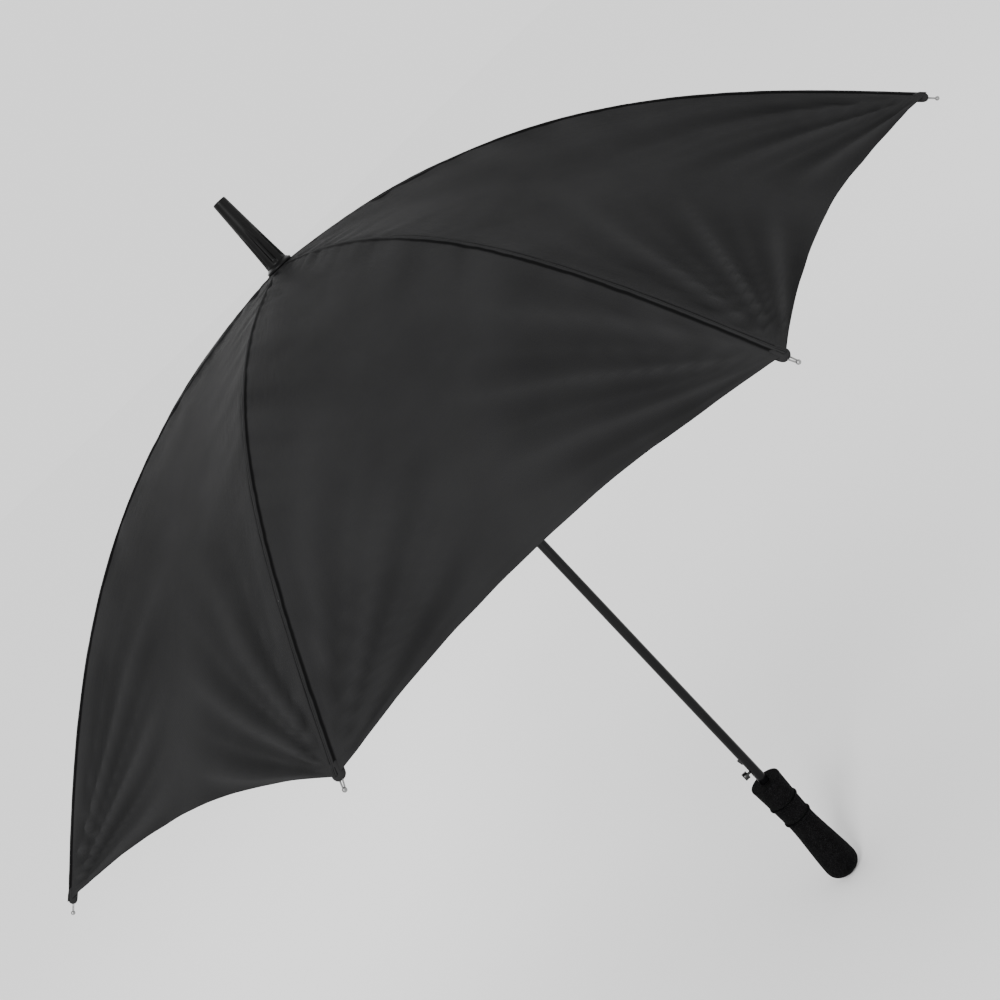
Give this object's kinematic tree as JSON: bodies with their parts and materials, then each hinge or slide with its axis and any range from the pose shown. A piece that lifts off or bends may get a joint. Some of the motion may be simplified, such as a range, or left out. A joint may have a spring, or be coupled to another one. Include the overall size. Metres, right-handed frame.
{
  "type": "golf umbrella",
  "caption": "Open golf umbrella with a wide black canopy, long ferrule, straight foam grip and release button; canopy folds down along the shaft.",
  "frame": {"origin": "on the shaft's axis at the bottom of the grip", "axes": "+Z along the shaft from the grip to the ferrule's end; -Y is the middle of panel 1; the release button is on the -X side"},
  "size_m": [1.1076, 1.1076, 1.0285],
  "materials": {
    "shaft_black": "gloss black",
    "crown_black": "matt black",
    "ferrule_black": "satin black",
    "grip_foam": "fine-grained dense foam",
    "bright_wire": "bright plated wire",
    "knob_metal": "dark burnished metal",
    "rib_fibre": "black glass fibre",
    "canopy_cloth": "close-woven black cloth, slightly satin"
  },
  "bodies": {
    "shaft": {"shaft_tube": "shaft_black", "handle_core": "crown_black", "foam_grip": "grip_foam", "grip_ring_upper": "grip_foam", "grip_ring_lower": "grip_foam", "crown_hub": "crown_black", "crown_wire": "bright_wire", "ferrule": "ferrule_black", "ferrule_flange": "ferrule_black"},
    "release_catch": {"catch_strip": "knob_metal", "release_knob": "knob_metal"},
    "runner": {"runner_sleeve": "crown_black", "runner_wire": "bright_wire"},
    "rib_1": {"rib_1": "rib_fibre", "rib_tip_1": "bright_wire"},
    "rib_2": {"rib_2": "rib_fibre", "rib_tip_2": "bright_wire"},
    "rib_3": {"rib_3": "rib_fibre", "rib_tip_3": "bright_wire"},
    "rib_4": {"rib_4": "rib_fibre", "rib_tip_4": "bright_wire"},
    "rib_5": {"rib_5": "rib_fibre", "rib_tip_5": "bright_wire"},
    "rib_6": {"rib_6": "rib_fibre", "rib_tip_6": "bright_wire"},
    "rib_7": {"rib_7": "rib_fibre", "rib_tip_7": "bright_wire"},
    "rib_8": {"rib_8": "rib_fibre", "rib_tip_8": "bright_wire"},
    "stretcher_1": {"stretcher_1": "rib_fibre"},
    "stretcher_2": {"stretcher_2": "rib_fibre"},
    "stretcher_3": {"stretcher_3": "rib_fibre"},
    "stretcher_4": {"stretcher_4": "rib_fibre"},
    "stretcher_5": {"stretcher_5": "rib_fibre"},
    "stretcher_6": {"stretcher_6": "rib_fibre"},
    "stretcher_7": {"stretcher_7": "rib_fibre"},
    "stretcher_8": {"stretcher_8": "rib_fibre"},
    "panel_1_left": {"panel_1_left": "canopy_cloth"},
    "panel_1_right": {"panel_1_right": "canopy_cloth"},
    "panel_2_left": {"panel_2_left": "canopy_cloth"},
    "panel_2_right": {"panel_2_right": "canopy_cloth"},
    "panel_3_left": {"panel_3_left": "canopy_cloth"},
    "panel_3_right": {"panel_3_right": "canopy_cloth"},
    "panel_4_left": {"panel_4_left": "canopy_cloth"},
    "panel_4_right": {"panel_4_right": "canopy_cloth"},
    "panel_5_left": {"panel_5_left": "canopy_cloth"},
    "panel_5_right": {"panel_5_right": "canopy_cloth"},
    "panel_6_left": {"panel_6_left": "canopy_cloth"},
    "panel_6_right": {"panel_6_right": "canopy_cloth"},
    "panel_7_left": {"panel_7_left": "canopy_cloth"},
    "panel_7_right": {"panel_7_right": "canopy_cloth"},
    "panel_8_left": {"panel_8_left": "canopy_cloth"},
    "panel_8_right": {"panel_8_right": "canopy_cloth"}
  },
  "joints": [
    {"name": "canopy_fold", "type": "hinge", "parent": "shaft", "child": "rib_1", "pos_m": [-0.00402, -0.0097, 0.93], "axis": [0.9239, -0.3827, 0], "range_deg": [0, 62.65], "stiffness_Nm_per_rad": 6, "springref_deg": -34.38, "deforming": ["panel_1_left", "panel_1_right", "panel_2_left", "panel_2_right", "panel_3_left", "panel_3_right", "panel_4_left", "panel_4_right", "panel_5_left", "panel_5_right", "panel_6_left", "panel_6_right", "panel_7_left", "panel_7_right", "panel_8_left", "panel_8_right"]},
    {"name": "rib_fold_2", "type": "hinge", "parent": "shaft", "child": "rib_2", "pos_m": [0.00402, -0.0097, 0.93], "axis": [0.9239, 0.3827, 0], "range_deg": [-0.5, 63.15]},
    {"name": "rib_fold_3", "type": "hinge", "parent": "shaft", "child": "rib_3", "pos_m": [0.0097, -0.00402, 0.93], "axis": [0.3827, 0.9239, 0], "range_deg": [-0.5, 63.15]},
    {"name": "rib_fold_4", "type": "hinge", "parent": "shaft", "child": "rib_4", "pos_m": [0.0097, 0.00402, 0.93], "axis": [-0.3827, 0.9239, 0], "range_deg": [-0.5, 63.15]},
    {"name": "rib_fold_5", "type": "hinge", "parent": "shaft", "child": "rib_5", "pos_m": [0.00402, 0.0097, 0.93], "axis": [-0.9239, 0.3827, 0], "range_deg": [-0.5, 63.15]},
    {"name": "rib_fold_6", "type": "hinge", "parent": "shaft", "child": "rib_6", "pos_m": [-0.00402, 0.0097, 0.93], "axis": [-0.9239, -0.3827, 0], "range_deg": [-0.5, 63.15]},
    {"name": "rib_fold_7", "type": "hinge", "parent": "shaft", "child": "rib_7", "pos_m": [-0.0097, 0.00402, 0.93], "axis": [-0.3827, -0.9239, 0], "range_deg": [-0.5, 63.15]},
    {"name": "rib_fold_8", "type": "hinge", "parent": "shaft", "child": "rib_8", "pos_m": [-0.0097, -0.00402, 0.93], "axis": [0.3827, -0.9239, 0], "range_deg": [-0.5, 63.15]},
    {"name": "stretcher_pin_1", "type": "hinge", "parent": "rib_1", "child": "stretcher_1", "pos_m": [-0.13313, -0.3214, 0.83624], "axis": [0.9239, -0.3827, 0], "range_deg": [-126.29, 1]},
    {"name": "stretcher_pin_2", "type": "hinge", "parent": "rib_2", "child": "stretcher_2", "pos_m": [0.13313, -0.3214, 0.83624], "axis": [0.9239, 0.3827, 0], "range_deg": [-126.29, 1]},
    {"name": "stretcher_pin_3", "type": "hinge", "parent": "rib_3", "child": "stretcher_3", "pos_m": [0.3214, -0.13313, 0.83624], "axis": [0.3827, 0.9239, 0], "range_deg": [-126.29, 1]},
    {"name": "stretcher_pin_4", "type": "hinge", "parent": "rib_4", "child": "stretcher_4", "pos_m": [0.3214, 0.13313, 0.83624], "axis": [-0.3827, 0.9239, 0], "range_deg": [-126.29, 1]},
    {"name": "stretcher_pin_5", "type": "hinge", "parent": "rib_5", "child": "stretcher_5", "pos_m": [0.13313, 0.3214, 0.83624], "axis": [-0.9239, 0.3827, 0], "range_deg": [-126.29, 1]},
    {"name": "stretcher_pin_6", "type": "hinge", "parent": "rib_6", "child": "stretcher_6", "pos_m": [-0.13313, 0.3214, 0.83624], "axis": [-0.9239, -0.3827, 0], "range_deg": [-126.29, 1]},
    {"name": "stretcher_pin_7", "type": "hinge", "parent": "rib_7", "child": "stretcher_7", "pos_m": [-0.3214, 0.13313, 0.83624], "axis": [-0.3827, -0.9239, 0], "range_deg": [-126.29, 1]},
    {"name": "stretcher_pin_8", "type": "hinge", "parent": "rib_8", "child": "stretcher_8", "pos_m": [-0.3214, -0.13313, 0.83624], "axis": [0.3827, -0.9239, 0], "range_deg": [-126.29, 1]},
    {"name": "runner_pin", "type": "hinge", "parent": "stretcher_1", "child": "runner", "pos_m": [-0.00402, -0.0097, 0.74248], "axis": [0.9239, -0.3827, 0], "range_deg": [-0.5, 63.15]},
    {"name": "panel_fold_1_left", "type": "hinge", "parent": "rib_1", "child": "panel_1_left", "pos_m": [-0.00402, -0.0097, 0.93], "axis": [0.4317, -0.8255, 0.3636], "range_deg": [-26.48, 1]},
    {"name": "panel_fold_1_right", "type": "hinge", "parent": "rib_2", "child": "panel_1_right", "pos_m": [0.00402, -0.0097, 0.93], "axis": [0.4317, 0.8255, -0.3636], "range_deg": [-26.48, 1]},
    {"name": "panel_fold_2_left", "type": "hinge", "parent": "rib_2", "child": "panel_2_left", "pos_m": [0.00402, -0.0097, 0.93], "axis": [0.889, -0.2784, 0.3636], "range_deg": [-26.48, 1]},
    {"name": "panel_fold_2_right", "type": "hinge", "parent": "rib_3", "child": "panel_2_right", "pos_m": [0.0097, -0.00402, 0.93], "axis": [-0.2784, 0.889, -0.3636], "range_deg": [-26.48, 1]},
    {"name": "panel_fold_3_left", "type": "hinge", "parent": "rib_3", "child": "panel_3_left", "pos_m": [0.0097, -0.00402, 0.93], "axis": [0.8255, 0.4317, 0.3636], "range_deg": [-26.48, 1]},
    {"name": "panel_fold_3_right", "type": "hinge", "parent": "rib_4", "child": "panel_3_right", "pos_m": [0.0097, 0.00402, 0.93], "axis": [-0.8255, 0.4317, -0.3636], "range_deg": [-26.48, 1]},
    {"name": "panel_fold_4_left", "type": "hinge", "parent": "rib_4", "child": "panel_4_left", "pos_m": [0.0097, 0.00402, 0.93], "axis": [0.2784, 0.889, 0.3636], "range_deg": [-26.48, 1]},
    {"name": "panel_fold_4_right", "type": "hinge", "parent": "rib_5", "child": "panel_4_right", "pos_m": [0.00402, 0.0097, 0.93], "axis": [-0.889, -0.2784, -0.3636], "range_deg": [-26.48, 1]},
    {"name": "panel_fold_5_left", "type": "hinge", "parent": "rib_5", "child": "panel_5_left", "pos_m": [0.00402, 0.0097, 0.93], "axis": [-0.4317, 0.8255, 0.3636], "range_deg": [-26.48, 1]},
    {"name": "panel_fold_5_right", "type": "hinge", "parent": "rib_6", "child": "panel_5_right", "pos_m": [-0.00402, 0.0097, 0.93], "axis": [-0.4317, -0.8255, -0.3636], "range_deg": [-26.48, 1]},
    {"name": "panel_fold_6_left", "type": "hinge", "parent": "rib_6", "child": "panel_6_left", "pos_m": [-0.00402, 0.0097, 0.93], "axis": [-0.889, 0.2784, 0.3636], "range_deg": [-26.48, 1]},
    {"name": "panel_fold_6_right", "type": "hinge", "parent": "rib_7", "child": "panel_6_right", "pos_m": [-0.0097, 0.00402, 0.93], "axis": [0.2784, -0.889, -0.3636], "range_deg": [-26.48, 1]},
    {"name": "panel_fold_7_left", "type": "hinge", "parent": "rib_7", "child": "panel_7_left", "pos_m": [-0.0097, 0.00402, 0.93], "axis": [-0.8255, -0.4317, 0.3636], "range_deg": [-26.48, 1]},
    {"name": "panel_fold_7_right", "type": "hinge", "parent": "rib_8", "child": "panel_7_right", "pos_m": [-0.0097, -0.00402, 0.93], "axis": [0.8255, -0.4317, -0.3636], "range_deg": [-26.48, 1]},
    {"name": "panel_fold_8_left", "type": "hinge", "parent": "rib_8", "child": "panel_8_left", "pos_m": [-0.0097, -0.00402, 0.93], "axis": [-0.2784, -0.889, 0.3636], "range_deg": [-26.48, 1]},
    {"name": "panel_fold_8_right", "type": "hinge", "parent": "rib_1", "child": "panel_8_right", "pos_m": [-0.00402, -0.0097, 0.93], "axis": [0.889, 0.2784, -0.3636], "range_deg": [-26.48, 1]},
    {"name": "release_catch", "type": "slide", "parent": "shaft", "child": "release_catch", "axis": [1, 0, 0], "range_m": [0, 0.0022], "stiffness_N_per_m": 400}
  ],
  "couplings": [
    {"joint": "rib_fold_2", "follows": "canopy_fold", "ratio": 1},
    {"joint": "rib_fold_3", "follows": "canopy_fold", "ratio": 1},
    {"joint": "rib_fold_4", "follows": "canopy_fold", "ratio": 1},
    {"joint": "rib_fold_5", "follows": "canopy_fold", "ratio": 1},
    {"joint": "rib_fold_6", "follows": "canopy_fold", "ratio": 1},
    {"joint": "rib_fold_7", "follows": "canopy_fold", "ratio": 1},
    {"joint": "rib_fold_8", "follows": "canopy_fold", "ratio": 1},
    {"joint": "stretcher_pin_1", "follows": "canopy_fold", "ratio": -2},
    {"joint": "stretcher_pin_2", "follows": "canopy_fold", "ratio": -2},
    {"joint": "stretcher_pin_3", "follows": "canopy_fold", "ratio": -2},
    {"joint": "stretcher_pin_4", "follows": "canopy_fold", "ratio": -2},
    {"joint": "stretcher_pin_5", "follows": "canopy_fold", "ratio": -2},
    {"joint": "stretcher_pin_6", "follows": "canopy_fold", "ratio": -2},
    {"joint": "stretcher_pin_7", "follows": "canopy_fold", "ratio": -2},
    {"joint": "stretcher_pin_8", "follows": "canopy_fold", "ratio": -2},
    {"joint": "runner_pin", "follows": "canopy_fold", "ratio": 1},
    {"joint": "panel_fold_1_left", "follows": "canopy_fold", "ratio": -0.40679},
    {"joint": "panel_fold_1_right", "follows": "canopy_fold", "ratio": -0.40679},
    {"joint": "panel_fold_2_left", "follows": "canopy_fold", "ratio": -0.40679},
    {"joint": "panel_fold_2_right", "follows": "canopy_fold", "ratio": -0.40679},
    {"joint": "panel_fold_3_left", "follows": "canopy_fold", "ratio": -0.40679},
    {"joint": "panel_fold_3_right", "follows": "canopy_fold", "ratio": -0.40679},
    {"joint": "panel_fold_4_left", "follows": "canopy_fold", "ratio": -0.40679},
    {"joint": "panel_fold_4_right", "follows": "canopy_fold", "ratio": -0.40679},
    {"joint": "panel_fold_5_left", "follows": "canopy_fold", "ratio": -0.40679},
    {"joint": "panel_fold_5_right", "follows": "canopy_fold", "ratio": -0.40679},
    {"joint": "panel_fold_6_left", "follows": "canopy_fold", "ratio": -0.40679},
    {"joint": "panel_fold_6_right", "follows": "canopy_fold", "ratio": -0.40679},
    {"joint": "panel_fold_7_left", "follows": "canopy_fold", "ratio": -0.40679},
    {"joint": "panel_fold_7_right", "follows": "canopy_fold", "ratio": -0.40679},
    {"joint": "panel_fold_8_left", "follows": "canopy_fold", "ratio": -0.40679},
    {"joint": "panel_fold_8_right", "follows": "canopy_fold", "ratio": -0.40679}
  ]
}
